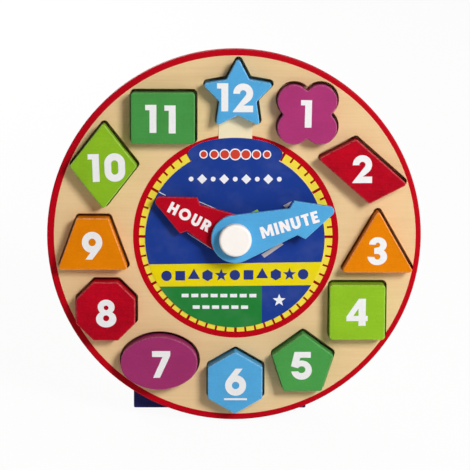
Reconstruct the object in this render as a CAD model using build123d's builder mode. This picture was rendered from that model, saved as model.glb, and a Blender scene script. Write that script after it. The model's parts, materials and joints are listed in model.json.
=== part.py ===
from build123d import *
from math import cos, radians, sin, sqrt, tan
import os

# Shape sorting clock: a round wooden clock face with twelve numbered blocks that lift out
# of matching sockets, two hands that turn freely on a hub, and a foot behind that leans it back.
#
# Frame, in millimetres: +X to the viewer's right, +Y to the back, +Z up. The origin is on the
# table, in the middle of the flat on the foot's rear lower edge, in line with the hub.

# Boards: round, and set a little to the left of the hub
disc_radius = 117.5
disc_shift = -0.5
face_thickness = 9.0
back_thickness = 3.0
board_round = 1.0
back_edge_break = 0.9
socket_edge_break = 0.25
lean_angle = 10

# Ring of sockets: the web of wood left between neighbouring sockets, and the rim of wood left
# outside the star's. A block lies at the low side of its socket, a little left of straight down,
# until only the resting gap is left. Each socket's centre is a share of the ring's radius from the hub, and a few
# degrees from its hour, counted anticlockwise, because the shapes are balanced by eye.
socket_web = 6.6
rim_wood = 2.95
socket_gap = 1.05
resting_gap = 0.25
settling_angle = 28
ring_shares = {
    1: 1.001, 2: 1.005, 3: 0.999, 4: 0.999, 5: 1.009, 6: 1.013,
    7: 1.02, 8: 1.03, 9: 0.985, 10: 1.041, 11: 0.977, 12: 1.0,
}
hour_trims = {
    1: 0.2, 2: -1.7, 3: -4.8, 4: -0.8, 5: -1.6, 6: 0.4,
    7: -1.0, 8: -0.5, 9: 1.9, 10: 0.7, 11: 0.6, 12: -1.1,
}

# Blocks: the top edge is rounded for small hands, and the lower edge is broken to find the socket
block_thickness = 18.5
block_round = 0.9
block_lead_in = 0.8
block_corner = 1.5
box_corner = 2.1
notch_room = 0.2

# A notch stays round when its socket is drawn the gap and the broken edge further out
notch_round = socket_gap + socket_edge_break + notch_room

# Outlines of the blocks, as shares of the span that the ring leaves for one block
lobe_offset_share = 0.2075
lobe_radius_share = 0.255
parallelogram_long_share = 1.07
parallelogram_short_share = 0.665
parallelogram_corner_angle = 68.5
parallelogram_turn = -41.2
triangle_radius_share = 0.657
square_side_share = 0.8725
pentagon_radius_share = 0.51
hexagon_radius_share = 0.498
oval_half_height_share = 0.424
oval_side_share = 0.78
oval_end_share = 0.33
octagon_radius_share = 0.501
octagon_turn = 22.5
trapezoid_base_share = 1.1
trapezoid_height_share = 0.8125
trapezoid_base_angle = 69.7
diamond_width_share = 1.0525
diamond_height_share = 1.347
rectangle_width_share = 0.9945
rectangle_height_share = 0.7975
star_tip_share = 0.588
star_notch_share = 0.305

# Printed card under the hands: a disc with a hump at its top and a tab up to the star's socket.
# It stays inside the ring of sockets, and the tab's width is a share of the star's span.
card_thickness = 0.4
card_ring_distance = 33.6
card_drop = 1.5
hump_half_width = 29.6
hump_half_height = 10.4
hump_inset = 4.5
card_tab_width_share = 0.5225
card_hole_margin = 1.2

# Hub: spindle, spacer, hour hand, washer, minute hand and knob, from the board outwards
spindle_radius = 4.0
glue_gap = 0.05
running_gap = 0.08
hub_play = 0.1
spacer_radius = 9.0
spacer_thickness = 2.4
washer_thickness = 0.5
knob_radius = 10.15
knob_height = 6.5
knob_edge_round = 1.6
knob_bore_depth = 4.0

# Hands: a round hub, a shaft that narrows, and an arrowhead with flared barbs
hand_thickness = 4.5
hand_edge_round = 0.7
hand_back_break = 0.5
hand_barb_round = 3.4
hand_tip_round = 3.0
hand_block_clearance = 0.7
barb_half_width = 12.5
minute_hand_angle = 16.8
minute_hub_radius = 15.0
minute_neck_half_width = 8.7
minute_head_length = 26.2
minute_barb_flare = 4.2
hour_hand_angle = 154.1
hour_hub_radius = 14.2
hour_neck_half_width = 9.2
hour_head_length = 27.0
hour_barb_flare = 3.3
hour_tip_shortfall = 9.0

# Foot: a block glued and dowelled behind the board, planed flat where it meets the table
foot_width = 110.0
foot_depth = 36.0
foot_thickness = 16.0
foot_offset = -9.2
foot_edge_round = 1.0
landing_width = 8.0
dowel_radius = 3.0
dowel_edge_distance = 12.75
dowel_depth_in_foot = 18.0
dowel_depth_in_face = 6.0

# The ring's radius leaves the rim of wood outside the star, and a block's span is what the web
# leaves of the pitch between two hours on the ring
pitch_share = 2 * sin(radians(15))
ring_radius = (disc_radius - rim_wood - socket_gap + star_tip_share * socket_web) / (
    1 + star_tip_share * pitch_share
)
block_span = pitch_share * ring_radius - socket_web
card_radius = ring_radius - card_ring_distance
hump_height = card_radius - hump_inset

# The leaning face. The board's lower back edge and the foot's rear edge both stand on z = 0, so
# the hub's height follows from the lean, and the foot's drop below the hub from both of them.
lean = radians(lean_angle)
board_thickness = face_thickness + back_thickness
hub_height = disc_radius * cos(lean) + (board_thickness - back_edge_break) * sin(lean)
foot_reach = board_thickness + foot_depth
planed_off = landing_width * sin(lean) * cos(lean)
foot_drop = (hub_height + planed_off - foot_reach * sin(lean)) / cos(lean)
landing_middle = planed_off * (1 / tan(lean) - tan(lean)) / 2
hub_forward = foot_drop * sin(lean) - foot_reach * cos(lean) + landing_middle

face = Plane(
    origin=(0, hub_forward, hub_height),
    x_dir=(1, 0, 0),
    z_dir=(0, -cos(lean), sin(lean)),
)
outward = Axis(face.origin, face.z_dir)
board_back = face.offset(-board_thickness)

# Heights above the face of what the spindle carries
hour_hand_base = spacer_thickness + hub_play
washer_base = hour_hand_base + hand_thickness + hub_play
minute_hand_base = washer_base + washer_thickness + hub_play
knob_base = minute_hand_base + hand_thickness + hub_play


def outline_1_quatrefoil():
    lobe_spacing = 2 * lobe_offset_share * block_span
    with BuildSketch() as outline:
        with GridLocations(lobe_spacing, lobe_spacing, 2, 2):
            Circle(lobe_radius_share * block_span)
        Rectangle(lobe_spacing, lobe_spacing)
        fillet(outline.vertices(), notch_round)
    return outline.sketch


def outline_2_parallelogram():
    slant = radians(parallelogram_corner_angle)
    half_short_side = parallelogram_short_share * block_span / 2
    half_side = parallelogram_long_share * block_span / 2
    rise = half_short_side * sin(slant)
    shift = half_short_side * cos(slant)
    with BuildSketch() as outline:
        Polygon(
            (-half_side - shift, -rise), (half_side - shift, -rise),
            (half_side + shift, rise), (-half_side + shift, rise),
            rotation=parallelogram_turn, align=None,
        )
        fillet(outline.vertices(), block_corner)
    return outline.sketch


def regular_outline(radius_share, sides, turn):
    with BuildSketch() as outline:
        RegularPolygon(radius_share * block_span, sides, rotation=turn)
        fillet(outline.vertices(), block_corner)
    return outline.sketch


def box_outline(width_share, height_share):
    with BuildSketch() as outline:
        RectangleRounded(width_share * block_span, height_share * block_span, box_corner)
    return outline.sketch


def outline_7_oval(room=0):
    """Two wide arcs that cross, with the pointed ends rounded off: a four-centred oval."""
    centre_height = (oval_side_share - oval_half_height_share) * block_span
    side_radius = oval_side_share * block_span + room
    with BuildSketch() as outline:
        with Locations((0, centre_height)):
            Circle(side_radius)
        with Locations((0, -centre_height)):
            Circle(side_radius, mode=Mode.INTERSECT)
        fillet(outline.vertices(), oval_end_share * block_span + room)
    return outline.sketch


def outline_9_trapezoid():
    with BuildSketch() as outline:
        Trapezoid(
            trapezoid_base_share * block_span,
            trapezoid_height_share * block_span,
            trapezoid_base_angle,
        )
        fillet(outline.vertices(), block_corner)
    return outline.sketch


def outline_10_diamond():
    half_width = diamond_width_share * block_span / 2
    half_height = diamond_height_share * block_span / 2
    with BuildSketch() as outline:
        Polygon((half_width, 0), (0, half_height), (-half_width, 0), (0, -half_height))
        fillet(outline.vertices(), block_corner)
    return outline.sketch


def outline_12_star():
    points = []
    for tip in range(5):
        tip_angle = 90 + 72 * tip
        points.append(Vector(star_tip_share * block_span, 0).rotate(Axis.Z, tip_angle))
        points.append(Vector(star_notch_share * block_span, 0).rotate(Axis.Z, tip_angle + 36))
    with BuildSketch() as outline:
        Polygon(*points, align=None)
        by_distance = outline.vertices().sort_by_distance((0, 0))
        fillet(by_distance[:5], notch_round)
        by_distance = outline.vertices().sort_by_distance((0, 0))
        fillet(by_distance[-5:], block_corner)
    return outline.sketch


shapes = {
    1: ("quatrefoil", outline_1_quatrefoil()),
    2: ("parallelogram", outline_2_parallelogram()),
    3: ("triangle", regular_outline(triangle_radius_share, 3, 90)),
    4: ("square", box_outline(square_side_share, square_side_share)),
    5: ("pentagon", regular_outline(pentagon_radius_share, 5, 90)),
    6: ("hexagon", regular_outline(hexagon_radius_share, 6, 90)),
    7: ("oval", outline_7_oval()),
    8: ("octagon", regular_outline(octagon_radius_share, 8, octagon_turn)),
    9: ("trapezoid", outline_9_trapezoid()),
    10: ("diamond", outline_10_diamond()),
    11: ("rectangle", box_outline(rectangle_width_share, rectangle_height_share)),
    12: ("star", outline_12_star()),
}


def socket_centre(hour):
    angle = 90 - 30 * hour + hour_trims[hour]
    return Vector(ring_shares[hour] * ring_radius, 0).rotate(Axis.Z, angle)


def socket_outline(hour):
    """The block's outline with the room around it, at its place on the ring."""
    with BuildSketch() as outline:
        with Locations(socket_centre(hour)):
            if hour == 7:
                add(outline_7_oval(socket_gap))
            else:
                add(shapes[hour][1])
                offset(amount=socket_gap)
    return outline.sketch


def block_place(hour):
    """Where a block comes to rest in its socket."""
    settling = Vector(0, resting_gap - socket_gap).rotate(Axis.Z, -settling_angle)
    return socket_centre(hour) + settling


# The foot's dowels run through the back board into the face board and the foot, at half the
# foot's thickness. The outer one stands the edge distance inside the board.
dowel_height = foot_thickness / 2 - foot_drop
half_chord = sqrt(disc_radius**2 - dowel_height**2)
dowel_spacing = 2 * (half_chord - abs(foot_offset) - dowel_edge_distance)
dowel_places = [(foot_offset + side * dowel_spacing / 2, dowel_height) for side in (-1, 1)]

with BuildPart() as face_board:
    with BuildSketch(face.offset(-face_thickness)):
        with Locations((disc_shift, 0)):
            Circle(disc_radius)
        for hour in shapes:
            add(socket_outline(hour), mode=Mode.SUBTRACT)
    extrude(amount=face_thickness)
    front = face_board.faces().sort_by(outward)[-1]
    chamfer(front.inner_wires().edges(), socket_edge_break)
    front = face_board.faces().sort_by(outward)[-1]
    fillet(front.outer_wire().edges(), board_round)
    with BuildSketch(face):
        Circle(spindle_radius + glue_gap)
    extrude(amount=-face_thickness, mode=Mode.SUBTRACT)
    with BuildSketch(face.offset(-face_thickness)):
        with Locations(*dowel_places):
            Circle(dowel_radius + glue_gap)
    extrude(amount=dowel_depth_in_face, mode=Mode.SUBTRACT)

with BuildPart() as back_board:
    with BuildSketch(board_back):
        with Locations((disc_shift, 0)):
            Circle(disc_radius)
        Circle(spindle_radius + glue_gap, mode=Mode.SUBTRACT)
        with Locations(*dowel_places):
            Circle(dowel_radius + glue_gap, mode=Mode.SUBTRACT)
    extrude(amount=back_thickness)
    chamfer(back_board.faces().sort_by(outward)[0].outer_wire().edges(), back_edge_break)

# The card's tab ends in the notch of the star's socket, and its hole clears the hub's spacer
card_tab_width = card_tab_width_share * block_span
card_tab_length = ring_radius - star_notch_share * block_span - hump_height
with BuildPart() as dial_card:
    with BuildSketch(face):
        with Locations((0, -card_drop)):
            Circle(card_radius)
        with Locations((0, hump_height)):
            Ellipse(hump_half_width, hump_half_height)
        with Locations((0, hump_height)):
            Rectangle(card_tab_width, card_tab_length, align=(Align.CENTER, Align.MIN))
        add(socket_outline(12), mode=Mode.SUBTRACT)
        Circle(spacer_radius + card_hole_margin, mode=Mode.SUBTRACT)
    extrude(amount=card_thickness)

blocks = []
for hour, (shape_name, outline) in shapes.items():
    with BuildPart() as block:
        with BuildSketch(face.offset(-face_thickness)):
            with Locations(block_place(hour)):
                add(outline)
        extrude(amount=block_thickness)
        chamfer(block.faces().sort_by(outward)[0].edges(), block_lead_in)
        fillet(block.faces().sort_by(outward)[-1].edges(), block_round)
    block.part.label = f"block_{hour}_{shape_name}"
    blocks.append(block.part)

with BuildPart() as hub_spindle:
    with BuildSketch(board_back):
        Circle(spindle_radius)
    extrude(amount=board_thickness + knob_base + knob_bore_depth)

with BuildPart() as hub_spacer:
    with BuildSketch(face):
        Circle(spacer_radius)
        Circle(spindle_radius + running_gap, mode=Mode.SUBTRACT)
    extrude(amount=spacer_thickness)

with BuildPart() as hand_washer:
    with BuildSketch(face.offset(washer_base)):
        Circle(spacer_radius)
        Circle(spindle_radius + running_gap, mode=Mode.SUBTRACT)
    extrude(amount=washer_thickness)

with BuildPart() as hub_knob:
    with BuildSketch(face.offset(knob_base)):
        Circle(knob_radius)
    extrude(amount=knob_height)
    fillet(hub_knob.faces().sort_by(outward)[-1].edges(), knob_edge_round)
    with BuildSketch(face.offset(knob_base)):
        Circle(spindle_radius + glue_gap)
    extrude(amount=knob_bore_depth, mode=Mode.SUBTRACT)


def hand_outline(hub_radius, neck_half_width, head_length, barb_flare, tip_radius):
    """A hand that points along +X, with its hub on the origin and its rounded tip at a radius."""
    point_sine = barb_half_width / sqrt(barb_half_width**2 + head_length**2)
    point_distance = tip_radius + hand_tip_round * (1 / point_sine - 1)
    barb_distance = point_distance - head_length
    neck_distance = barb_distance - barb_flare
    upper_neck = (neck_distance, neck_half_width)
    lower_neck = (neck_distance, -neck_half_width)
    with BuildSketch() as outline:
        with BuildLine():
            CenterArc((0, 0), hub_radius, 0, 360)
            Line(upper_neck, lower_neck)
        make_hull()
        Polygon(
            upper_neck, lower_neck, (barb_distance, -barb_half_width),
            (point_distance, 0), (barb_distance, barb_half_width), align=None,
        )
        fillet(outline.vertices().sort_by(Axis.X)[-1], hand_tip_round)
        fillet(outline.vertices().sort_by(Axis.Y)[-1], hand_barb_round)
        fillet(outline.vertices().sort_by(Axis.Y)[0], hand_barb_round)
        Circle(spindle_radius + running_gap, mode=Mode.SUBTRACT)
    return outline.sketch


def make_hand(outline, angle, base):
    with BuildPart() as hand:
        with BuildSketch(face.offset(base)):
            add(outline, rotation=angle)
        extrude(amount=hand_thickness)
        chamfer(hand.faces().sort_by(outward)[0].outer_wire().edges(), hand_back_break)
        fillet(hand.faces().sort_by(outward)[-1].outer_wire().edges(), hand_edge_round)
    return hand


# The minute hand sweeps just inside the nearest block
hub_line = Edge.make_line(face.origin, face.origin + face.z_dir * block_thickness)
nearest_block = min(block.distance_to(hub_line) for block in blocks)
minute_tip_radius = nearest_block - hand_block_clearance

minute_outline = hand_outline(
    minute_hub_radius, minute_neck_half_width, minute_head_length, minute_barb_flare,
    minute_tip_radius,
)
minute_hand = make_hand(minute_outline, minute_hand_angle, minute_hand_base)
hour_outline = hand_outline(
    hour_hub_radius, hour_neck_half_width, hour_head_length, hour_barb_flare,
    minute_tip_radius - hour_tip_shortfall,
)
hour_hand = make_hand(hour_outline, hour_hand_angle, hour_hand_base)

with BuildPart() as foot:
    with BuildSketch(board_back):
        with Locations((foot_offset, -foot_drop)):
            Rectangle(foot_width, foot_thickness, align=(Align.CENTER, Align.MIN))
    extrude(amount=-foot_depth)
    long_edges = foot.edges().filter_by(outward)
    rear_edges = foot.faces().sort_by(outward)[0].edges()
    fillet(long_edges + rear_edges, foot_edge_round)
    with BuildSketch(board_back):
        with Locations(*dowel_places):
            Circle(dowel_radius + glue_gap)
    extrude(amount=-dowel_depth_in_foot, mode=Mode.SUBTRACT)
    split(bisect_by=Plane.XY, keep=Keep.TOP)

with BuildPart() as foot_dowels:
    with BuildSketch(board_back.offset(-dowel_depth_in_foot)):
        with Locations(*dowel_places):
            Circle(dowel_radius)
    extrude(amount=dowel_depth_in_foot + back_thickness + dowel_depth_in_face)

os.makedirs("parts", exist_ok=True)

named_parts = {
    "face_board": face_board,
    "back_board": back_board,
    "dial_card": dial_card,
    "hub_spindle": hub_spindle,
    "hub_spacer": hub_spacer,
    "hand_washer": hand_washer,
    "hub_knob": hub_knob,
    "hour_hand": hour_hand,
    "minute_hand": minute_hand,
    "foot": foot,
    "foot_dowels": foot_dowels,
}
for name, builder in named_parts.items():
    builder.part.label = name
    export_step(builder.part, f"parts/{name}.step")
for block in blocks:
    export_step(block, f"parts/{block.label}.step")
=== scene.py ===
import json
from math import cos, radians, sin

import bpy
from bpy.props import FloatProperty, FloatVectorProperty, PointerProperty
from mathutils import Matrix, Vector
from mathutils.geometry import tessellate_polygon


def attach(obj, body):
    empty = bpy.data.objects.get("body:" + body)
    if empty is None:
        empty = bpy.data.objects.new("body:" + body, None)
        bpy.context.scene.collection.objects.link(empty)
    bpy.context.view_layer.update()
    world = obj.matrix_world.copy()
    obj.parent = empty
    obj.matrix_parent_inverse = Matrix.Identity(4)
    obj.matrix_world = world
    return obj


bl_info = {
    "name": "Shape Sorting Clock",
    "version": (1, 0, 0),
    "blender": (4, 5, 0),
    "location": "3D View > Sidebar > Clock",
    "description": "Paints, prints and lights a wooden shape sorting clock",
    "category": "Object",
}

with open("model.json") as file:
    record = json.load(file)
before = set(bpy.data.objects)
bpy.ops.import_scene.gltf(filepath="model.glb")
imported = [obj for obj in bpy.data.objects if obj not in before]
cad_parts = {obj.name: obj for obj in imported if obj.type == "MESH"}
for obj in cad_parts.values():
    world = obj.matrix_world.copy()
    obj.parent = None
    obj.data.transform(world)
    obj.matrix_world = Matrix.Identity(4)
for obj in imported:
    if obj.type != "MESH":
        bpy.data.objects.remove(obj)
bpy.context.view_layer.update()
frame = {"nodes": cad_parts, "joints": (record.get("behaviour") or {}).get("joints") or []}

# The clock's face. Places on it are given in millimetres: right of the hub, up the leaning face,
# and out of its surface. The hands turn about a line square to it.
MM = 0.001
hub_joint = next(joint for joint in frame["joints"] if joint["name"] == "hour_hand_turn")
outward = -Vector(hub_joint["axis"]).normalized()
rightward = Vector((1, 0, 0))
upward = outward.cross(rightward)
face_turn = Matrix((rightward, upward, outward)).transposed()
face_frame = Matrix.LocRotScale(Vector(hub_joint["pos_m"]), face_turn, Vector((MM, MM, MM)))

block_nodes = {
    int(name.split("_")[1]): name for name in frame["nodes"] if name.startswith("block_")
}


def face_reach(node):
    """Lowest and highest corner of a CAD node on the face, in millimetres."""
    into_face = face_frame.inverted()
    points = [into_face @ vertex.co for vertex in frame["nodes"][node].data.vertices]
    low = Vector([min(point[axis] for point in points) for axis in range(3)])
    high = Vector([max(point[axis] for point in points) for axis in range(3)])
    return low, high


def linear(red, green, blue):
    """A colour written as it shows on screen, from 0 to 255, as Blender's linear values."""
    shares = [channel / 255 for channel in (red, green, blue)]
    return [
        share / 12.92 if share <= 0.04045 else ((share + 0.055) / 1.055) ** 2.4
        for share in shares
    ]


def colour_property(name, description, red, green, blue):
    return FloatVectorProperty(
        name=name, description=description, subtype="COLOR", size=3, min=0, max=1,
        default=linear(red, green, blue),
    )


def length_property(name, description, millimetres):
    return FloatProperty(
        name=name, description=description, unit="LENGTH", default=millimetres * MM,
    )


def angle_property(name, description, degrees):
    return FloatProperty(
        name=name, description=description, subtype="ANGLE", unit="ROTATION",
        default=radians(degrees),
    )


def power_property(name, description, watts):
    return FloatProperty(name=name, description=description, unit="POWER", default=watts)


class ClockPaints(bpy.types.PropertyGroup):
    """Colours of the wood and the paints."""

    wood: colour_property("Wood", "Pale side of the plywood's grain", 237, 207, 159)
    wood_dark: colour_property("Wood grain", "Dark side of the plywood's grain", 213, 177, 125)
    glue_line: colour_property("Ply edge", "Darker plies at a sawn edge", 150, 108, 68)
    green: colour_property("Green", "Blocks 5 and 11", 71, 150, 72)
    lime: colour_property("Lime", "Blocks 4 and 10", 141, 190, 38)
    light_blue: colour_property("Light blue", "Blocks 6 and 12 and the minute hand", 82, 166, 219)
    purple: colour_property("Purple", "Blocks 1 and 7", 166, 52, 112)
    red: colour_property("Red", "Blocks 2 and 8 and the hour hand", 180, 3, 30)
    orange: colour_property("Orange", "Blocks 3 and 9", 226, 128, 0)
    navy: colour_property("Navy", "Foot", 37, 42, 100)
    knob: colour_property("Knob", "Warm white knob", 251, 246, 241)
    nylon: colour_property("Nylon", "Spacer and washer on the hub", 226, 224, 216)
    rim: colour_property("Rim", "Painted rim and red minute ring", 186, 0, 22)


class ClockPrint(bpy.types.PropertyGroup):
    """Colours and sizes of what is printed on the face, the card, the blocks and the hands."""

    numeral: colour_property("Numerals", "Screen-printed white", 237, 238, 239)
    word: colour_property("Words", "White of the words on the hands", 246, 241, 242)
    ring_yellow: colour_property("Ring yellow", "Yellow minute ring", 239, 219, 70)
    card_blue: colour_property("Card blue", "Upper field of the card", 27, 58, 142)
    card_yellow: colour_property("Card yellow", "Band across the card", 232, 213, 10)
    card_green: colour_property("Card green", "Lower left field of the card", 34, 125, 54)
    card_cream: colour_property("Card cream", "Tab of the card", 239, 224, 186)
    card_core: colour_property("Card core", "Paper at the card's cut edges", 236, 232, 224)
    card_rubbed: colour_property("Card rubbed", "Film where the card is handled", 210, 214, 230)
    # Grey of painted shade, where the card's cut-outs show the board in shade
    card_grey: colour_property("Card grey", "Scraps of card in shade", 182, 176, 180)
    card_white: colour_property("Card white", "White shapes and slits", 238, 240, 246)
    card_navy: colour_property("Card navy", "Shapes on the yellow band", 40, 56, 128)
    card_red: colour_property("Card red", "Dots on the hump", 206, 66, 48)
    mark_red: colour_property("Mark red", "Deep red of the minute marks", 146, 5, 4)
    rim_inner: length_property("Rim inside", "Inner radius of the painted rim", 113.6)
    shift: length_property("Ring shift", "How far right of the hub the ring is printed", 0.5)
    red_ring: length_property("Red ring", "Outer radius of the printed minute ring", 64.5)
    yellow_ring: length_property("Yellow ring", "Radius where red meets yellow", 60.7)
    minute_width: length_property("Minute mark", "Width of a minute mark", 1.25)
    minute_length: length_property("Minute length", "Length of a minute mark", 3.1)
    five_minute_width: length_property("Five-minute mark", "Width of a five-minute mark", 1.7)
    ink: length_property("Ink", "Thickness of the printed ink", 0.05)


class ClockStage(bpy.types.PropertyGroup):
    """Camera and light."""

    camera_distance: length_property("Camera distance", "From the lens to the face", 1341)
    camera_right: length_property("Camera right", "Shift of the view to the right", 0)
    camera_up: length_property("Camera up", "Shift of the view up", 1.0)
    camera_above: angle_property("Camera above", "Angle above square to the face", 8.09)
    camera_side: angle_property("Camera side", "Angle to the left of square to the face", 0.78)
    camera_roll: angle_property("Camera roll", "Turn about the line of sight", -0.22)
    camera_lens: FloatProperty(
        name="Lens", description="Focal length on a 36 mm sensor", unit="CAMERA", default=163.5
    )
    key_power: power_property("Key light", "Power of the key lamp", 16.2)
    key_size: length_property("Key size", "Side of the key lamp's square", 420)
    key_distance: length_property("Key distance", "From the hub to the key lamp", 1400)
    fill_power: power_property("Fill light", "Power of the fill lamp", 0.3)
    back_power: power_property("Back light", "Power of the lamp behind", 9.0)
    soft_size: length_property("Soft size", "Side of the fill and back lamps' squares", 900)
    soft_distance: length_property("Soft distance", "From the hub to these two lamps", 1300)
    sky: FloatProperty(
        name="Sky", description="Strength of the light from all round", default=0.14
    )
    sky_colour: FloatVectorProperty(
        name="Sky colour", description="Colour of the light from all round", subtype="COLOR",
        size=3, min=0, max=1, default=(1, 0.86, 0.76),
    )


def settings(name):
    return getattr(bpy.context.scene, name)


# Meshes


def add_object(name, data):
    made = bpy.data.objects.new(name, data)
    bpy.context.scene.collection.objects.link(made)
    return made


def new_mesh(name, vertices, faces, material):
    """Adds a mesh whose vertices are in metres."""
    mesh = bpy.data.meshes.new(name)
    mesh.from_pydata(vertices, [], faces)
    mesh.update()
    mesh.materials.append(material)
    return add_object(name, mesh)


def signed_area(loop):
    """Twice a loop's area, and more than 0 where it runs anticlockwise."""
    return sum(
        loop[i - 1][0] * loop[i][1] - loop[i][0] * loop[i - 1][1] for i in range(len(loop))
    )


def print_shapes(name, shapes, height, material, body):
    """Prints flat shapes on a surface at some height above the face, as one thin closed mesh.

    A shape is a list of loops of (right, up) places: its outline and then its holes. The mesh
    rides on a body.
    """
    ink = settings("clock_print").ink / MM
    vertices, faces = [], []
    for loops in shapes:
        lower = len(vertices)
        places = [place for loop in loops for place in loop]
        upper = lower + len(places)
        vertices += [face_frame @ Vector((x, y, height)) for x, y in places]
        vertices += [face_frame @ Vector((x, y, height + ink)) for x, y in places]
        outlines = [[Vector((x, y, 0)) for x, y in loop] for loop in loops]
        for corners in tessellate_polygon(outlines):
            a, b, c = [Vector(places[corner]) for corner in corners]
            clockwise = (b - a).cross(c - a) < 0
            top = corners[::-1] if clockwise else corners
            faces.append([upper + corner for corner in top])
            faces.append([lower + corner for corner in top[::-1]])
        start = 0
        for number, loop in enumerate(loops):
            count = len(loop)
            walls_face_out = (signed_area(loop) > 0) == (number == 0)
            for i in range(count):
                here, after = start + i, start + (i + 1) % count
                wall = [lower + here, lower + after, upper + after, upper + here]
                faces.append(wall if walls_face_out else wall[::-1])
            start += count
    piece = new_mesh(name, vertices, faces, material)
    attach(piece, body)


def arc(centre, radii, start, end, step=6):
    """Places along an arc of a circle or an ellipse, between two angles in degrees."""
    count = max(2, round(abs(end - start) / step))
    angles = [radians(start + (end - start) * i / count) for i in range(count + 1)]
    return [
        (centre[0] + radii[0] * cos(angle), centre[1] + radii[1] * sin(angle)) for angle in angles
    ]


def circle(centre, radius, step=6):
    return arc(centre, (radius, radius), 0, 360, step)[:-1]


def ring(centre, outer, inner, step=6):
    return [circle(centre, outer, step), circle(centre, inner, step)]


def circle_corners(centre, radii, turn):
    """Corners at equal angles, each at its own radius."""
    step = 360 / len(radii)
    return [
        (
            centre[0] + radius * cos(radians(turn + step * i)),
            centre[1] + radius * sin(radians(turn + step * i)),
        )
        for i, radius in enumerate(radii)
    ]


def polygon(centre, radius, corners, turn=90):
    return circle_corners(centre, [radius] * corners, turn)


def star(centre, radius, notch_share=0.42):
    return circle_corners(centre, [radius, radius * notch_share] * 5, 90)


def box(left, bottom, right, top):
    return [(left, bottom), (right, bottom), (right, top), (left, top)]


def turned(loop, angle, place):
    """A loop turned about (0, 0), by degrees to the left, and then moved to a place."""
    c, s = cos(radians(angle)), sin(radians(angle))
    return [(place[0] + x * c - y * s, place[1] + x * s + y * c) for x, y in loop]


def strip(start, end, width):
    """A straight strip between two places."""
    along = (Vector(end) - Vector(start)).normalized() * width / 2
    side = Vector((-along.y, along.x))
    corners = (Vector(start) - side, Vector(end) - side, Vector(end) + side, Vector(start) + side)
    return [tuple(corner) for corner in corners]


# Numerals and letters: plain bold forms, drawn one unit high. Each is its width and its loops.


def half_turn(glyph):
    width, loops = glyph
    return width, [[(width - x, 1 - y) for x, y in loop] for loop in loops]


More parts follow.
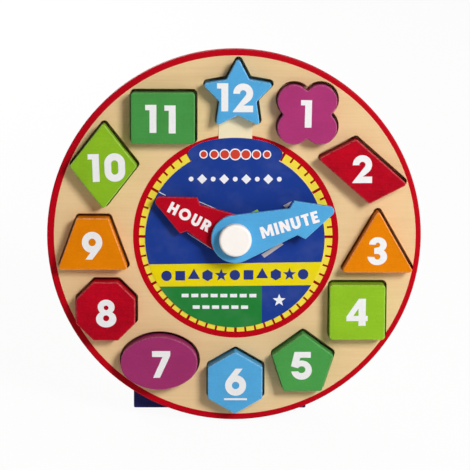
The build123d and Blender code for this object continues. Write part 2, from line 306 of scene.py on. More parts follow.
glyphs = {
    "0": (0.72, [
        arc((0.36, 0.64), (0.36, 0.36), 0, 180) + arc((0.36, 0.36), (0.36, 0.36), 180, 360),
        arc((0.36, 0.63), (0.12, 0.12), 0, 180) + arc((0.36, 0.37), (0.12, 0.12), 180, 360),
    ]),
    "1": (0.4, [
        [(0, 1), (0, 0.81), (0.155, 0.81), (0.155, 0), (0.4, 0), (0.4, 1)],
    ]),
    "2": (0.7, [
        [(0, 0), (0.7, 0), (0.7, 0.23), (0.367, 0.23)]
        + arc((0.355, 0.655), (0.345, 0.345), -52, 182)
        + arc((0.355, 0.655), (0.11, 0.11), 188, -38)
        + [(0, 0.03)],
    ]),
    "3": (0.69, [
        arc((0.345, 0.3), (0.345, 0.3), -180, 47)
        + arc((0.358, 0.725), (0.312, 0.275), -48, 178)
        + arc((0.358, 0.72), (0.08, 0.085), 174, -72)
        + [(0.23, 0.61), (0.23, 0.4)]
        + arc((0.345, 0.3), (0.105, 0.1), 72, -175),
    ]),
    "4": (0.77, [
        [
            (0.7, 1), (0.45, 1), (0, 0.34), (0, 0.174), (0.437, 0.174), (0.437, 0), (0.7, 0),
            (0.7, 0.174), (0.77, 0.174), (0.77, 0.368), (0.7, 0.368),
        ],
        [(0.437, 0.642), (0.437, 0.368), (0.25, 0.368)],
    ]),
    "5": (0.757, [
        [(0.716, 1), (0.165, 1), (0.05, 0.48)]
        + arc((0.407, 0.36), (0.13, 0.122), 155, -151)
        + arc((0.407, 0.345), (0.35, 0.345), -171, 102)
        + [(0.36, 0.79), (0.716, 0.79)],
    ]),
    "6": (0.76, [
        [(0.63, 1), (0.375, 1)] + arc((0.38, 0.38), (0.38, 0.38), 143, 440),
        circle((0.38, 0.38), 0.135),
    ]),
    "7": (0.67, [
        [(0, 1), (0, 0.78), (0.385, 0.78), (0.04, 0), (0.29, 0), (0.67, 0.83), (0.67, 1)],
    ]),
    "8": (0.72, [
        arc((0.36, 0.3), (0.36, 0.3), -233, 53) + arc((0.36, 0.73), (0.3, 0.27), -44, 224),
        circle((0.36, 0.33), 0.108),
        circle((0.36, 0.706), 0.084),
    ]),
    "E": (0.56, [
        [
            (0, 0), (0.56, 0), (0.56, 0.22), (0.25, 0.22), (0.25, 0.39), (0.51, 0.39),
            (0.51, 0.6), (0.25, 0.6), (0.25, 0.78), (0.56, 0.78), (0.56, 1), (0, 1),
        ],
    ]),
    "H": (0.76, [
        [
            (0, 0), (0.25, 0), (0.25, 0.38), (0.51, 0.38), (0.51, 0), (0.76, 0),
            (0.76, 1), (0.51, 1), (0.51, 0.61), (0.25, 0.61), (0.25, 1), (0, 1),
        ],
    ]),
    "I": (0.25, [box(0, 0, 0.25, 1)]),
    "M": (1.0, [
        [
            (0, 0), (0.24, 0), (0.24, 0.56), (0.42, 0.12), (0.58, 0.12), (0.76, 0.56),
            (0.76, 0), (1, 0), (1, 1), (0.73, 1), (0.5, 0.45), (0.27, 1), (0, 1),
        ],
    ]),
    "N": (0.78, [
        [
            (0, 0), (0.24, 0), (0.24, 0.54), (0.52, 0), (0.78, 0), (0.78, 1),
            (0.54, 1), (0.54, 0.46), (0.26, 1), (0, 1),
        ],
    ]),
    "O": (1.0, [
        circle((0.5, 0.5), 0.52),
        circle((0.5, 0.5), 0.27),
    ]),
    "R": (0.68, [
        [(0, 0), (0.25, 0), (0.25, 0.34), (0.3, 0.34), (0.45, 0), (0.73, 0), (0.55, 0.39)]
        + arc((0.37, 0.68), (0.33, 0.32), -52, 90)
        + [(0, 1)],
        [(0.25, 0.55), (0.25, 0.79)] + arc((0.34, 0.67), (0.11, 0.12), 90, -90),
    ]),
    "T": (0.62, [
        [
            (0.185, 0), (0.435, 0), (0.435, 0.78), (0.62, 0.78), (0.62, 1), (0, 1),
            (0, 0.78), (0.185, 0.78),
        ],
    ]),
    "U": (0.74, [
        [(0, 1)] + arc((0.37, 0.34), (0.37, 0.36), 180, 360) + [(0.74, 1), (0.49, 1)]
        + arc((0.37, 0.36), (0.12, 0.14), 0, -180) + [(0.25, 1)],
    ]),
}
glyphs["9"] = half_turn(glyphs["6"])


def set_glyph(character, left, bottom, height, turn=0, widen=1.0, pen=0):
    """A character's loops on a line of print, which starts at a place and may be turned there.

    The character starts as far along the line as the pen is, in heights of a character.
    """
    return [
        turned(
            [(height * (pen + x * widen), height * y) for x, y in loop], turn, (left, bottom)
        )
        for loop in glyphs[character][1]
    ]


def embolden(loops, amount):
    """Moves a character's edges out by a length, and the edges of its holes in."""
    grown = []
    for number, loop in enumerate(loops):
        side = 1 if (signed_area(loop) > 0) == (number == 0) else -1
        places = [Vector(place) for place in loop]
        moved = []
        for i, place in enumerate(places):
            along = (place - places[i - 1]).normalized()
            along += (places[(i + 1) % len(places)] - place).normalized()
            reach = side * amount * 2 / max(along.length_squared, 1)
            moved.append((place.x + along.y * reach, place.y - along.x * reach))
        grown.append(moved)
    return grown


def set_word(word, left, bottom, height, turn, spacing, widen, bold):
    """A word along a turned line, with its letters widened by a share and made bolder."""
    shapes, pen = [], 0
    for character in word:
        loops = set_glyph(character, left, bottom, height, turn, widen, pen)
        shapes.append(embolden(loops, bold))
        pen += glyphs[character][0] * widen + spacing
    return shapes


# Materials


def feed(tree, made, inputs):
    """Gives a node its inputs, each as a value or as the socket that feeds it."""
    for key, value in inputs.items():
        if isinstance(value, bpy.types.NodeSocket):
            tree.links.new(value, made.inputs[key])
        else:
            made.inputs[key].default_value = value


def node(tree, kind, inputs=None, **attributes):
    made = tree.nodes.new(kind)
    for attribute, value in attributes.items():
        setattr(made, attribute, value)
    feed(tree, made, inputs or {})
    return made


def calculate(tree, operation, first, second=0.0, clamp=False):
    """One step of arithmetic on numbers, as a socket."""
    made = node(tree, "ShaderNodeMath", {0: first, 1: second}, operation=operation)
    made.use_clamp = clamp
    return made.outputs[0]


def weigh(tree, *parts):
    """The sum of values, each times its weight."""
    weighed = [calculate(tree, "MULTIPLY", value, weight) for value, weight in parts]
    total = weighed[0]
    for part in weighed[1:]:
        total = calculate(tree, "ADD", total, part)
    return total


def vector_step(tree, operation, first, second=(0, 0, 0)):
    """One step of arithmetic on vectors. Gives both results: Vector and Value."""
    made = node(tree, "ShaderNodeVectorMath", {0: first, 1: second}, operation=operation)
    return made.outputs


def blend_colours(tree, share, first, second):
    """The first colour, turning into the second as the share goes from 0 to 1."""
    made = node(tree, "ShaderNodeMix", {0: share, 6: first, 7: second}, data_type="RGBA")
    return made.outputs[2]


def fade(tree, value, low, high, low_result=0.0, high_result=1.0):
    """Turns a range of a value into another range, and holds its ends."""
    made = node(
        tree, "ShaderNodeMapRange",
        {"Value": value, "From Min": low, "From Max": high,
         "To Min": low_result, "To Max": high_result},
        clamp=True,
    )
    return made.outputs[0]


def stretched_noise(tree, position, stretch, detail=3.0, distortion=0.0):
    """Noise whose spots have about one over the stretch's size in millimetres, each way."""
    place = vector_step(tree, "MULTIPLY", position, stretch)["Vector"]
    made = node(
        tree, "ShaderNodeTexNoise",
        {"Vector": place, "Scale": 1.0, "Detail": detail, "Distortion": distortion},
    )
    return made.outputs[0]


def colour(value):
    return [*value, 1.0]


def plywood_grain(tree, given):
    """Grain of pale plywood that runs to the right: broad figure, fine fibres and short pores."""
    place = given["Position"]
    figure = fade(tree, stretched_noise(tree, place, (0.011, 0.07, 0.2), 4.0, 0.8), 0.3, 0.7)
    streaks = fade(tree, stretched_noise(tree, place, (0.02, 0.75, 0.75), 3.0, 0.3), 0.3, 0.72)
    fibres = stretched_noise(tree, place, (0.09, 4.5, 4.5), 2.0)
    pores = fade(tree, stretched_noise(tree, place, (0.3, 6.0, 6.0), 1.0), 0.62, 0.74)
    shade = weigh(tree, (figure, 0.45), (streaks, 0.4), (fibres, 0.25))
    shade = calculate(tree, "MULTIPLY", shade, given["Contrast"], clamp=True)
    grain = blend_colours(tree, shade, given["Pale"], given["Dark"])
    pore_share = calculate(tree, "MULTIPLY", pores, 0.35)
    grain = blend_colours(tree, pore_share, grain, given["Dark"])
    height = calculate(tree, "SUBTRACT", fibres, pores)
    return {"Color": grain, "Pores": pores, "Height": height}


def facing_masks(tree, given):
    """Where the surface looks sideways, and where it is a rounded edge that looks half out."""
    normal = node(tree, "ShaderNodeTexCoord").outputs["Normal"]
    lean = vector_step(tree, "DOT_PRODUCT", normal, given["Outward"])["Value"]
    side = fade(tree, calculate(tree, "ABSOLUTE", lean), 0.5, 0.3)
    front = calculate(tree, "MAXIMUM", lean, 0.0)
    room = calculate(tree, "SUBTRACT", 1.0, front)
    edge = calculate(tree, "MULTIPLY", calculate(tree, "MULTIPLY", front, room), 4.0, clamp=True)
    return {"Side": side, "Edge": edge}


def satin_paint(tree, given):
    """Satin paint on wood: a slightly uneven coat, a little grain, and paler rounded edges, partly
    thin paint and partly a painted highlight.
    """
    place = given["Position"]
    cloud = stretched_noise(tree, place, (0.05, 0.06, 0.06), 2.0)
    speckle = stretched_noise(tree, place, (0.9, 1.1, 1.1), 3.0)
    grain = stretched_noise(tree, place, (0.05, 1.7, 1.7), 3.0, 0.4)
    flecks = fade(tree, stretched_noise(tree, place, (1.6, 1.6, 1.6), 2.0), 0.74, 0.8)

    def tint(saturation, value):
        made = node(
            tree, "ShaderNodeHueSaturation",
            {"Hue": 0.5, "Saturation": saturation, "Value": value, "Fac": 1.0,
             "Color": given["Color"]},
        )
        return made.outputs[0]

    uneven = weigh(tree, (cloud, 0.4), (speckle, 0.35), (grain, 0.25))
    uneven = calculate(tree, "MULTIPLY", calculate(tree, "SUBTRACT", uneven, 0.5), 4.0)
    uneven = calculate(tree, "MULTIPLY", uneven, given["Mottle"])
    # Paler, less saturated rounded edges: partly paint worn thin in specks, partly a painted
    # highlight where the edges catch the light
    edge_wear_and_highlight = calculate(tree, "MULTIPLY", given["Edge"], fade(tree, speckle, 0.35, 0.65))
    edge_wear_and_highlight = calculate(tree, "MULTIPLY", edge_wear_and_highlight, given["Wear"])
    edge_wear_and_highlight = calculate(tree, "ADD", edge_wear_and_highlight, calculate(tree, "MULTIPLY", flecks, 0.3), clamp=True)
    coat = tint(1.0, calculate(tree, "ADD", 1.0, uneven))
    return {
        "Color": blend_colours(tree, edge_wear_and_highlight, coat, tint(0.75, 1.55)),
        "Roughness": fade(tree, speckle, 0.3, 0.7, 0.36, 0.5),
        "Height": weigh(tree, (speckle, 0.5), (grain, 0.5)),
    }


def ply_edge(tree, given):
    """Sawn edge of plywood: thin plies in turn pale and dark, with short end grain."""
    depth = node(tree, "ShaderNodeSeparateXYZ", {0: given["Position"]}).outputs[2]
    layers = calculate(tree, "DIVIDE", depth, given["Ply"])
    dark_ply = calculate(tree, "GREATER_THAN", calculate(tree, "PINGPONG", layers, 1.0), 0.5)
    pores = stretched_noise(tree, given["Position"], (3.0, 3.0, 1.2), 3.0)
    end_grain = fade(tree, pores, 0.4, 0.7, 0.0, 0.3)
    share = calculate(tree, "MULTIPLY", dark_ply, 0.55)
    share = calculate(tree, "ADD", share, end_grain, clamp=True)
    return {"Color": blend_colours(tree, share, given["Pale"], given["Dark"])}


def ink_film(tree, given):
    """Screen-printed film: an even colour with faint mesh marks and thin spots."""
    film = stretched_noise(tree, given["Position"], (0.8, 0.8, 0.8), 3.0)
    thin = fade(tree, film, 0.45, 0.75, 0.0, 0.16)
    ink = blend_colours(tree, thin, given["Color"], given["Thin Color"])
    gloss = calculate(tree, "ADD", given["Roughness"], fade(tree, film, 0.3, 0.7, -0.06, 0.08))
    return {"Color": ink, "Roughness": gloss, "Height": film}


def handling_marks(tree, given):
    """A moulded or turned surface that hands have made faintly uneven."""
    handled = stretched_noise(tree, given["Position"], (0.25, 0.25, 0.25), 3.0)
    fine = stretched_noise(tree, given["Position"], (1.8, 1.8, 1.8), 2.0)
    shade = fade(tree, handled, 0.4, 0.8, 0.0, 0.1)
    tone = blend_colours(tree, shade, given["Color"], given["Handled Color"])
    gloss = calculate(tree, "ADD", given["Roughness"], fade(tree, handled, 0.3, 0.7, -0.05, 0.07))
    return {"Color": tone, "Roughness": gloss, "Height": fine}


def ring_mask(tree, given):
    """1 outside a circle about the hub, and 0 inside it."""
    flat = vector_step(tree, "MULTIPLY", given["Position"], (1, 1, 0))["Vector"]
    reach = vector_step(tree, "LENGTH", flat)["Value"]
    beyond = calculate(tree, "SUBTRACT", reach, given["Radius"])
    return {"Mask": fade(tree, beyond, -0.05, 0.05)}


# What builds each shared group, and the defaults of its inputs
group_makers = {
    "Plywood Grain": (plywood_grain, {
        "Position": (0, 0, 0), "Pale": (0.8, 0.6, 0.35, 1), "Dark": (0.6, 0.4, 0.2, 1),
        "Contrast": 0.6,
    }),
    "Facing": (facing_masks, {"Outward": (0, -1, 0)}),
    "Satin Paint": (satin_paint, {
        "Position": (0, 0, 0), "Color": (0.5, 0.5, 0.5, 1), "Edge": 0.0, "Wear": 0.3,
        "Mottle": 0.1,
    }),
    "Ply Edge": (ply_edge, {
        "Position": (0, 0, 0), "Pale": (0.8, 0.6, 0.35, 1), "Dark": (0.3, 0.18, 0.08, 1),
        "Ply": 1.5,
    }),
    "Ink Film": (ink_film, {
        "Position": (0, 0, 0), "Color": (0.5, 0.5, 0.5, 1), "Thin Color": (0.36, 0.36, 0.36, 1),
        "Roughness": 0.45,
    }),
    "Handling": (handling_marks, {
        "Position": (0, 0, 0), "Color": (0.8, 0.8, 0.8, 1), "Handled Color": (0.7, 0.7, 0.7, 1),
        "Roughness": 0.4,
    }),
    "Ring Mask": (ring_mask, {"Position": (0, 0, 0), "Radius": 100.0}),
}
socket_kinds = {3: "NodeSocketVector", 4: "NodeSocketColor"}


def new_group(name):
    """Builds a shared group. An input's default tells its kind: number, vector or colour."""
    make, inputs = group_makers[name]
    tree = bpy.data.node_groups.new(name, "ShaderNodeTree")
    for label, default in inputs.items():
        number = isinstance(default, float)
        kind = "NodeSocketFloat" if number else socket_kinds[len(default)]
        socket = tree.interface.new_socket(label, in_out="INPUT", socket_type=kind)
        socket.default_value = default
    results = make(tree, tree.nodes.new("NodeGroupInput").outputs)
    for label in results:
        kind = "NodeSocketColor" if label == "Color" else "NodeSocketFloat"
        tree.interface.new_socket(label, in_out="OUTPUT", socket_type=kind)
    feed(tree, tree.nodes.new("NodeGroupOutput"), results)
    return tree


def place_group(tree, name, inputs):
    """Puts a shared group in a material, building it the first time."""
    made = tree.nodes.new("ShaderNodeGroup")
    made.node_tree = bpy.data.node_groups.get(name) or new_group(name)
    feed(tree, made, inputs)
    return made.outputs


# Shares of full gloss: on matt paint, print and wood, and on the knob's lacquer
soft_gloss = 0.06
lacquer_gloss = 0.35

# Tone of thin ink and of handled plastic, as shares of the full colour
thin_ink_share = 0.72
handled_share = 0.86


def darker(tone, share):
    return [channel * share for channel in tone]


def start_material(name, gloss=soft_gloss):
    """A material with its shader, and the place on the face in millimetres as a socket."""
    material = bpy.data.materials.new(name)
    material.use_nodes = True
    tree = material.node_tree
    shader = tree.nodes["Principled BSDF"]
    shader.inputs["Specular IOR Level"].default_value = gloss
    place = node(tree, "ShaderNodeTexCoord").outputs["Object"]
    mapping = node(
        tree, "ShaderNodeMapping",
        {"Vector": place, "Location": face_frame.translation, "Rotation": face_turn.to_euler(),
         "Scale": (MM, MM, MM)},
        vector_type="TEXTURE",
    )
    return material, tree, shader, mapping.outputs[0]


def feed_shader(tree, shader, base, roughness, height, depth, strength=0.4):
    """Links a surface's colour, roughness and fine relief, whose depth is in millimetres."""
    bump = node(
        tree, "ShaderNodeBump", {"Height": height, "Distance": depth * MM, "Strength": strength}
    )
    feed(tree, shader, {"Base Color": base, "Roughness": roughness, "Normal": bump.outputs[0]})


def facing(tree):
    return place_group(tree, "Facing", {"Outward": outward})


def painted(name, paint, wear, mottle):
    """Satin paint on a solid wooden piece."""
    material, tree, shader, place = start_material(name)
    coat = place_group(tree, "Satin Paint", {
        "Position": place, "Color": colour(paint), "Edge": facing(tree)["Edge"],
        "Wear": wear, "Mottle": mottle,
    })
    feed_shader(tree, shader, coat["Color"], coat["Roughness"], coat["Height"], depth=0.06)
    return material


def board_material(name, ply, back=False):
    """Plywood with its grain on the flats, plies at its sawn edges, and the painted rim."""
    paints, sizes = settings("clock_paints"), settings("clock_print")
    material, tree, shader, place = start_material(name)
    looks = facing(tree)
    flats = place_group(tree, "Plywood Grain", {
        "Position": place, "Pale": colour(paints.wood), "Dark": colour(paints.wood_dark),
        "Contrast": 0.5,
    })
    edges = place_group(tree, "Ply Edge", {
        "Position": place, "Pale": colour(paints.wood_dark), "Dark": colour(paints.glue_line),
        "Ply": ply,
    })
    rim = place_group(tree, "Satin Paint", {
        "Position": place, "Color": colour(paints.rim), "Edge": looks["Edge"],
        "Wear": 0.12, "Mottle": 0.05,
    })
    wood = blend_colours(tree, looks["Side"], flats["Color"], edges["Color"])
    mask = place_group(tree, "Ring Mask", {
        "Position": place, "Radius": sizes.rim_inner / MM,
    })["Mask"]
    if back:
        mask = calculate(tree, "MULTIPLY", mask, looks["Side"])
    base = blend_colours(tree, mask, wood, rim["Color"])
    roughness = fade(tree, flats["Pores"], 0.0, 1.0, 0.48, 0.62)
    feed_shader(tree, shader, base, roughness, flats["Height"], depth=0.05, strength=0.3)
    return material


def ink_material(name, ink, roughness=0.45):
    """Screen-printed ink on wood, card or paint."""
    material, tree, shader, place = start_material(name)
    film = place_group(tree, "Ink Film", {
        "Position": place, "Color": colour(ink),
        "Thin Color": colour(darker(ink, thin_ink_share)), "Roughness": roughness,
    })
    feed_shader(tree, shader, film["Color"], film["Roughness"], film["Height"], depth=0.03)
    return material


# The card's printed fields. The yellow band's two edges slope a little, so each is a height over
# the hub and a slope. The blue field goes up over the hump, an oval, and leaves the tab bare.
band_top, band_top_slope = -16.9, 0.016
band_foot, band_foot_slope = -31.3, 0.011
green_field_right = 17.1
hump_height = 51.9
hump_half_width = 29.6
hump_half_height = 10.4
# Width over which one field turns into the next
seam = 0.1


def card_material():
    """Coated card: flat printed fields, with the paper's pale core at its cut edges."""
    inks = settings("clock_print")
    material, tree, shader, place = start_material("printed card")
    low, high = face_reach("dial_card")
    radius = (high.x - low.x) / 2
    parts = node(tree, "ShaderNodeSeparateXYZ", {0: place}).outputs
    across, up = parts[0], parts[1]

    def beyond(value, limit):
        return fade(tree, value, limit - seam / 2, limit + seam / 2)

    def above(height, slope):
        """1 above a line that crosses the card's middle at a height."""
        rise = calculate(tree, "MULTIPLY", across, slope)
        return beyond(calculate(tree, "SUBTRACT", up, rise), height)

    blue = colour(inks.card_blue)
    fields = blend_colours(
        tree, beyond(across, green_field_right), colour(inks.card_green), blue
    )
    fields = blend_colours(
        tree, above(band_foot, band_foot_slope), fields, colour(inks.card_yellow)
    )
    fields = blend_colours(tree, above(band_top, band_top_slope), fields, blue)
    flat = vector_step(tree, "MULTIPLY", place, (1, 1, 0))["Vector"]
    from_middle = vector_step(tree, "DISTANCE", flat, (0, low.y + radius, 0))["Value"]
    hump = vector_step(tree, "SUBTRACT", flat, (0, hump_height, 0))["Vector"]
    shrink = (1 / hump_half_width, 1 / hump_half_height, 0)
    hump = vector_step(tree, "MULTIPLY", hump, shrink)["Vector"]
    hump = vector_step(tree, "LENGTH", hump)["Value"]
    tab = calculate(
        tree, "MULTIPLY", fade(tree, from_middle, radius - 0.02, radius + 0.06),
        fade(tree, hump, 1.0, 1.006),
    )
    fields = blend_colours(tree, tab, fields, colour(inks.card_cream))
    base = blend_colours(tree, facing(tree)["Side"], fields, colour(inks.card_core))
    stipple = stretched_noise(tree, place, (2.2, 2.2, 2.2), 2.0)
    rubbed = stretched_noise(tree, place, (0.06, 0.07, 0.07), 3.0)
    base = blend_colours(
        tree, fade(tree, rubbed, 0.45, 0.75, 0.0, 0.03), base, colour(inks.card_rubbed)
    )
    roughness = fade(tree, rubbed, 0.3, 0.7, 0.36, 0.46)
    feed_shader(tree, shader, base, roughness, stipple, depth=0.02)
    return material


def smooth_material(name, tone, roughness, gloss=soft_gloss):
    """A moulded or turned piece that hands have touched."""
    material, tree, shader, place = start_material(name, gloss)
    skin = place_group(tree, "Handling", {
        "Position": place, "Color": colour(tone),
        "Handled Color": colour(darker(tone, handled_share)), "Roughness": roughness,
    })
    feed_shader(tree, shader, skin["Color"], skin["Roughness"], skin["Height"], depth=0.02)
    return material


def dowel_material():
    """Turned beech: grain along the dowel, which runs out of the face."""
    paints = settings("clock_paints")
    material, tree, shader, place = start_material("beech dowel")
    along = node(
        tree, "ShaderNodeVectorRotate", {"Vector": place, "Angle": radians(90)},
        rotation_type="Y_AXIS",
    )
    grain = place_group(tree, "Plywood Grain", {
        "Position": along.outputs[0], "Pale": colour(paints.wood),
        "Dark": colour(paints.wood_dark), "Contrast": 0.9,
    })
    roughness = fade(tree, grain["Pores"], 0.0, 1.0, 0.5, 0.7)
    feed_shader(tree, shader, grain["Color"], roughness, grain["Height"], depth=0.05)
    return material


def dress(node_name, material):
    frame["nodes"][node_name].material_slots[0].material = material


# Paints of blocks 1 to 6, and of 7 to 12 again
block_paints = ("purple", "red", "orange", "lime", "green", "light_blue")
# Brightness of a block's coat, where it isn't that of the paint
coat_tones = {2: 0.97, 5: 1.04, 7: 0.86, 9: 0.97, 10: 0.9, 11: 0.93, 12: 0.97}
# How pale a block's rounded edges are painted, partly as wear and partly as a painted highlight,
# and how uneven its coat is: most of all where the paint is red
block_wear_and_highlight = 0.9
block_mottle = 0.15
red_mottle = 0.5

# Each numeral's characters, with the lower left corner and the height of each in millimetres
numerals = {
    1: [("1", 40.15, 69.7, 17.0)],
    2: [("2", 72.8, 35.1, 17.4)],
    3: [("3", 82.8, -16.5, 17.7)],
    4: [("4", 70.0, -55.1, 17.3)],
    5: [("5", 34.5, -89.6, 17.8)],
    6: [("6", -6.0, -100.0, 17.4)],
    7: [("7", -52.0, -88.5, 17.1)],
    8: [("8", -87.0, -56.3, 17.6)],
    9: [("9", -95.6, -13.3, 17.5)],
    10: [("1", -91.2, 35.3, 17.4), ("0", -81.0, 35.4, 17.8)],
    11: [("1", -56.0, 66.1, 17.4), ("1", -44.1, 65.8, 17.4)],
    12: [("1", -11.6, 79.6, 17.4), ("2", -1.7, 79.1, 17.8)],
}
# Turns in degrees and widths as shares, where a numeral isn't as it is drawn
numeral_turns = {1: -1.0, 2: 0.5, 10: 2.0}
numeral_widths = {5: 1.045, 9: 0.96}
underline = box(-6.6, -102.8, 7.8, -101.6)

hand_words = {
    "hour_hand": dict(
        word="HOUR", left=-42.6, bottom=16.75, height=7.0, turn=-27.3,
        spacing=0.25, widen=1.03, bold=0.08,
    ),
    "minute_hand": dict(
        word="MINUTE", left=17.1, bottom=0.45, height=7.3, turn=16.7,
        spacing=0.185, widen=1.05, bold=0.06,
    ),
}

# Minute ring: how far its ink runs in under the card, and its circles' fineness in degrees
under_card = 1.0
ring_step = 2

# Motifs on the card: seven ringed dots on the hump, largest in the middle, a row of diamonds
# and dots, a row of shapes on the yellow band, two rows of dashes and a star
hump_dot_spacing, hump_dot_radius, hump_dot_taper = 6.6, 3.0, 0.35
hump_ring_width = 0.7
diamond_spacing, diamond_height = 6.9, 36.4
diamond_radius, diamond_dot_radius = 3.1, 1.5
band_start, band_step, band_count = Vector((-43, -25.0)), Vector((8.6, 0.12)), 11
band_makers = (
    lambda place: circle(place, 3.3),
    lambda place: polygon(place, 4.3, 4, 45),
    lambda place: polygon(place, 4.4, 3),
    lambda place: polygon(place, 3.7, 6),
    lambda place: star(place, 4.3),
)
# Each row of dashes is its left end, its height and its count
dash_rows = ((-33.5, -38.6, 8), (-26.5, -46.0, 6))
dash_spacing, dash_length, dash_width = 6.1, 4.4, 2.2
field_star_place, field_star_radius = (28.0, -40.5), 4.2
# Slits where the card is cut to go round the hub, each from one end to the other and its width,
# and grey slivers of painted shade that stand behind them, where cut-outs show the board in shade
slits = (
    ((-47.9, 28.3), (-43.6, 26.0), 0.5),
    ((-22.5, 22.1), (-9.7, 16.6), 0.4),
    ((-30.0, 2.3), (-15.1, -7.5), 0.35),
)
shaded_scraps = (
    [(16.6, -11.3), (18.5, -13.4), (30.5, -4.9), (29.0, -3.6)],
    [(30.1, 19.8), (32.4, 17.7), (35.5, 22.6)],
)
green_scrap = [(8.6, 14.4), (15.6, 15.0), (13.9, 17.4)]

# Where the lamps stand, seen from the hub: right, up the face and out of it
key_direction = (0.65, 0.5, 0.95)
fill_direction = (-0.9, 0.15, 0.9)
back_direction = (-0.5, 0.55, -0.95)


class CLOCK_OT_boards(bpy.types.Operator):
    """Give the two boards their plywood and painted rim, and the dowels their beech"""

    bl_idname = "clock.boards"
    bl_label = "Boards and Dowels"

    def execute(self, context):
        dress("face_board", board_material("face plywood", ply=1.3))
        dress("back_board", board_material("back plywood", ply=1.0, back=True))
        dowel = dowel_material()
        for name in ("hub_spindle", "foot_dowels"):
            dress(name, dowel)
        return {"FINISHED"}


class CLOCK_OT_minute_ring(bpy.types.Operator):
    """Print the red and yellow minute ring with its sixty marks on the face"""

    bl_idname = "clock.minute_ring"
    bl_label = "Minute Ring"

    def execute(self, context):
        inks = context.scene.clock_print
        low, high = face_reach("dial_card")
        inner = (high.x - low.x) / 2 - under_card
        outer, middle = inks.red_ring / MM, inks.yellow_ring / MM
        over_ring = inks.ink / MM / 2
        red = ink_material("ring red ink", context.scene.clock_paints.rim)
        deep_red = ink_material("mark red ink", inks.mark_red)
        yellow = ink_material("ring yellow ink", inks.ring_yellow)
        centre = (inks.shift / MM, 0)
        red_ring = ring(centre, outer, middle, ring_step)
        yellow_ring = ring(centre, middle, inner, ring_step)
        print_shapes("ring_red", [red_ring], 0, red, "clock")
        print_shapes("ring_yellow", [yellow_ring], 0, yellow, "clock")
        marks = {"minute_marks": [], "five_minute_marks": []}
        for minute in range(60):
            major = minute % 5 == 0
            half = (inks.five_minute_width if major else inks.minute_width) / MM / 2
            start = inner if major else middle - inks.minute_length / MM
            mark = box(-half, start, half, middle + half / 2)
            name = "five_minute_marks" if major else "minute_marks"
            marks[name].append([turned(mark, 6 * minute, centre)])
        for name, shapes in marks.items():
            print_shapes(name, shapes, over_ring, deep_red, "clock")
        return {"FINISHED"}


class CLOCK_OT_card(bpy.types.Operator):
    """Print the card's colour fields, and rows of small plain shapes on them"""

    bl_idname = "clock.card"
    bl_label = "Dial Card"

    def execute(self, context):
        inks = context.scene.clock_print
        dress("dial_card", card_material())
        top = face_reach("dial_card")[1].z
        white = ink_material("card white ink", inks.card_white)
        navy = ink_material("card navy ink", inks.card_navy)
        warm = ink_material("card red ink", inks.card_red)
        shade_ink = ink_material("card grey edge", inks.card_grey)
        lime = ink_material("card lime ink", context.scene.clock_paints.lime)

        hump_dots = [
            ((hump_dot_spacing * step, hump_height), hump_dot_radius - hump_dot_taper * abs(step))
            for step in range(-3, 4)
        ]
        dots = [[circle(place, radius)] for place, radius in hump_dots]
        rings = [ring(place, radius + hump_ring_width, radius) for place, radius in hump_dots]
        diamonds = [
            [
                polygon((diamond_spacing * step, diamond_height), diamond_radius, 4) if step % 2
                else circle((diamond_spacing * step, diamond_height), diamond_dot_radius)
            ]
            for step in range(-4, 5)
        ]
        band = [
            [band_makers[step % len(band_makers)](band_start + band_step * step)]
            for step in range(band_count)
        ]
        dashes = [
            [box(x, y, x + dash_length, y + dash_width)]
            for left, y, count in dash_rows
            for x in [left + dash_spacing * step for step in range(count)]
        ]
        for name, shapes, ink, slot in (
            ("hump_dots", dots, warm, "red_paint"),
            ("hump_rings", rings, white, "knob_paint"),
            ("dial_diamonds", diamonds, white, "knob_paint"),
            ("band_shapes", band, navy, "navy_paint"),
            ("field_dashes", dashes, white, "knob_paint"),
            ("field_star", [[star(field_star_place, field_star_radius)]], white, "knob_paint"),
            ("card_slits", [[strip(*slit)] for slit in slits], white, "knob_paint"),
            # Grey scraps: painted shade, for the board in shade seen through the card's cut-outs
            ("card_scraps", [[scrap] for scrap in shaded_scraps], shade_ink, "printed_card"),
            ("lime_scrap", [[green_scrap]], lime, "lime_paint"),
        ):
            print_shapes(name, shapes, top, ink, "clock")
        return {"FINISHED"}


class CLOCK_OT_blocks(bpy.types.Operator):
    """Paint the twelve blocks and print their numerals"""

    bl_idname = "clock.blocks"
    bl_label = "Blocks and Numerals"

    def execute(self, context):
        paints = context.scene.clock_paints
        white = ink_material("numeral ink", context.scene.clock_print.numeral)
        for hour, name in sorted(block_nodes.items()):
            paint = block_paints[(hour - 1) % len(block_paints)]
            coat = darker(getattr(paints, paint), coat_tones.get(hour, 1.0))
            mottle = red_mottle if paint == "red" else block_mottle
            dress(name, painted(f"block {hour} paint", coat, block_wear_and_highlight, mottle))
            top = face_reach(name)[1].z
            shapes = [
                set_glyph(
                    character, left, bottom, height,
                    numeral_turns.get(hour, 0), numeral_widths.get(hour, 1.0),
                )
                for character, left, bottom, height in numerals[hour]
            ]
            if hour == 6:
                shapes.append([underline])
            print_shapes(f"numeral_{hour}", shapes, top, white, f"block_{hour}")
        return {"FINISHED"}


class CLOCK_OT_hands(bpy.types.Operator):
    """Paint the hands and print a word on each"""

    bl_idname = "clock.hands"
    bl_label = "Hands"

    def execute(self, context):
        paints = context.scene.clock_paints
        # The hands' paler rounded edges are partly wear and partly a painted highlight
        red = painted("hour hand paint", paints.red, wear=0.6, mottle=0.2)
        blue = painted("minute hand paint", paints.light_blue, wear=0.6, mottle=0.1)
        dress("hour_hand", red)
        dress("minute_hand", blue)
        white = ink_material("hand white ink", context.scene.clock_print.word)
        for hand, words in hand_words.items():
            name = "word_" + words["word"].lower()
            top = face_reach(hand)[1].z
            print_shapes(name, set_word(**words), top, white, hand)
        return {"FINISHED"}


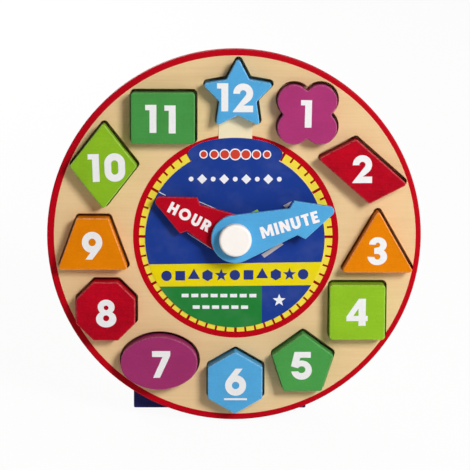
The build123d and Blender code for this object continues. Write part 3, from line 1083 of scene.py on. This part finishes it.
class CLOCK_OT_hub(bpy.types.Operator):
    """Finish the knob, the spacer and the washer"""

    bl_idname = "clock.hub"
    bl_label = "Hub"

    def execute(self, context):
        paints = context.scene.clock_paints
        lacquer = smooth_material("knob lacquer", paints.knob, roughness=0.35, gloss=lacquer_gloss)
        nylon = smooth_material("hub nylon", paints.nylon, roughness=0.45)
        dress("hub_knob", lacquer)
        for name in ("hub_spacer", "hand_washer"):
            dress(name, nylon)
        return {"FINISHED"}


class CLOCK_OT_foot(bpy.types.Operator):
    """Paint the foot behind the board"""

    bl_idname = "clock.foot"
    bl_label = "Foot"

    def execute(self, context):
        navy = context.scene.clock_paints.navy
        dress("foot", painted("navy paint", navy, wear=0.4, mottle=0.12))
        return {"FINISHED"}


class CLOCK_OT_stage(bpy.types.Operator):
    """Set up the floor, the light and the camera"""

    bl_idname = "clock.stage"
    bl_label = "Stage"

    def execute(self, context):
        scene = context.scene
        stage = scene.clock_stage
        make_floor()
        make_sky(stage.sky_colour, stage.sky)
        key = (stage.key_distance, stage.key_size)
        soft = (stage.soft_distance, stage.soft_size)
        make_lamp("key_lamp", key_direction, *key, stage.key_power)
        make_lamp("fill_lamp", fill_direction, *soft, stage.fill_power)
        make_lamp("back_lamp", back_direction, *soft, stage.back_power)
        data = bpy.data.cameras.new("camera")
        data.lens = stage.camera_lens
        data.sensor_width = 36
        data.clip_start, data.clip_end = 0.05, 20
        camera = add_object("camera", data)
        view = (
            Matrix.Translation((-stage.camera_right, -stage.camera_up, -stage.camera_distance))
            @ Matrix.Rotation(stage.camera_roll, 4, "Z")
            @ Matrix.Rotation(stage.camera_above, 4, "X")
            @ Matrix.Rotation(stage.camera_side, 4, "Y")
        )
        face_place = Matrix.Translation(face_frame.translation) @ face_turn.to_4x4()
        camera.matrix_world = face_place @ view.inverted()
        scene.camera = camera
        scene.view_settings.view_transform = "Standard"
        return {"FINISHED"}


def show_white(tree, kind, shader, share, output):
    """Shows the camera a share of plain white in a shader's place, in gloss and glass too."""
    path = node(tree, "ShaderNodeLightPath").outputs
    seen = calculate(tree, "ADD", path["Is Camera Ray"], path["Is Glossy Ray"])
    seen = calculate(tree, "ADD", seen, path["Is Transmission Ray"], clamp=True)
    share = calculate(tree, "MULTIPLY", seen, share)
    white = node(tree, kind, {"Color": (1, 1, 1, 1), "Strength": 1.0})
    mixed = node(
        tree, "ShaderNodeMixShader", {0: share, 1: shader.outputs[0], 2: white.outputs[0]}
    )
    tree.links.new(mixed.outputs[0], tree.nodes[output].inputs[0])


# The floor's reach each way in metres, and how much of it is seen as plain white
floor_reach = 4.0
floor_white_share = 0.95


def make_floor():
    """A wide pale floor that keeps the clock's shadow."""
    material = bpy.data.materials.new("floor")
    material.use_nodes = True
    tree = material.node_tree
    shader = tree.nodes["Principled BSDF"]
    shader.inputs["Base Color"].default_value = (0.9, 0.9, 0.9, 1)
    shader.inputs["Roughness"].default_value = 0.9
    show_white(tree, "ShaderNodeEmission", shader, floor_white_share, "Material Output")
    corners = box(-floor_reach, -floor_reach, floor_reach, floor_reach)
    floor = new_mesh("floor", [(x, y, 0) for x, y in corners], [(0, 1, 2, 3)], material)


def make_sky(sky_colour, strength):
    """Even light from all round, which the camera sees as plain white."""
    world = bpy.data.worlds.new("studio")
    world.use_nodes = True
    tree = world.node_tree
    lighting = tree.nodes["Background"]
    lighting.inputs["Color"].default_value = colour(sky_colour)
    lighting.inputs["Strength"].default_value = strength
    show_white(tree, "ShaderNodeBackground", lighting, 1.0, "World Output")
    bpy.context.scene.world = world


def make_lamp(name, direction, distance, size, power):
    """A square soft lamp that looks at the hub, from a direction seen from the face."""
    data = bpy.data.lights.new(name, "AREA")
    data.shape, data.size, data.energy = "SQUARE", size, power
    lamp = add_object(name, data)
    towards = (face_turn @ Vector(direction)).normalized()
    lamp.location = face_frame.translation + towards * distance
    lamp.rotation_mode = "QUATERNION"
    lamp.rotation_quaternion = towards.to_track_quat("Z", "Y")


class CLOCK_PT_panel(bpy.types.Panel):
    """Steps that dress the clock"""

    bl_idname = "CLOCK_PT_panel"
    bl_label = "Shape Sorting Clock"
    bl_space_type = "VIEW_3D"
    bl_region_type = "UI"
    bl_category = "Clock"

    def draw(self, context):
        for operator in operators:
            self.layout.operator(operator.bl_idname)


property_groups = {
    "clock_paints": ClockPaints,
    "clock_print": ClockPrint,
    "clock_stage": ClockStage,
}
operators = (
    CLOCK_OT_boards,
    CLOCK_OT_minute_ring,
    CLOCK_OT_card,
    CLOCK_OT_blocks,
    CLOCK_OT_hands,
    CLOCK_OT_hub,
    CLOCK_OT_foot,
    CLOCK_OT_stage,
)


def register():
    for name, group in property_groups.items():
        bpy.utils.register_class(group)
        setattr(bpy.types.Scene, name, PointerProperty(type=group))
    for made in (*operators, CLOCK_PT_panel):
        bpy.utils.register_class(made)


def unregister():
    for made in (CLOCK_PT_panel, *reversed(operators)):
        bpy.utils.unregister_class(made)
    for name, group in reversed(property_groups.items()):
        delattr(bpy.types.Scene, name)
        bpy.utils.unregister_class(group)


def main():
    register()
    for operator in operators:
        group, action = operator.bl_idname.split(".")
        getattr(getattr(bpy.ops, group), action)()


if __name__ == "__main__":
    main()
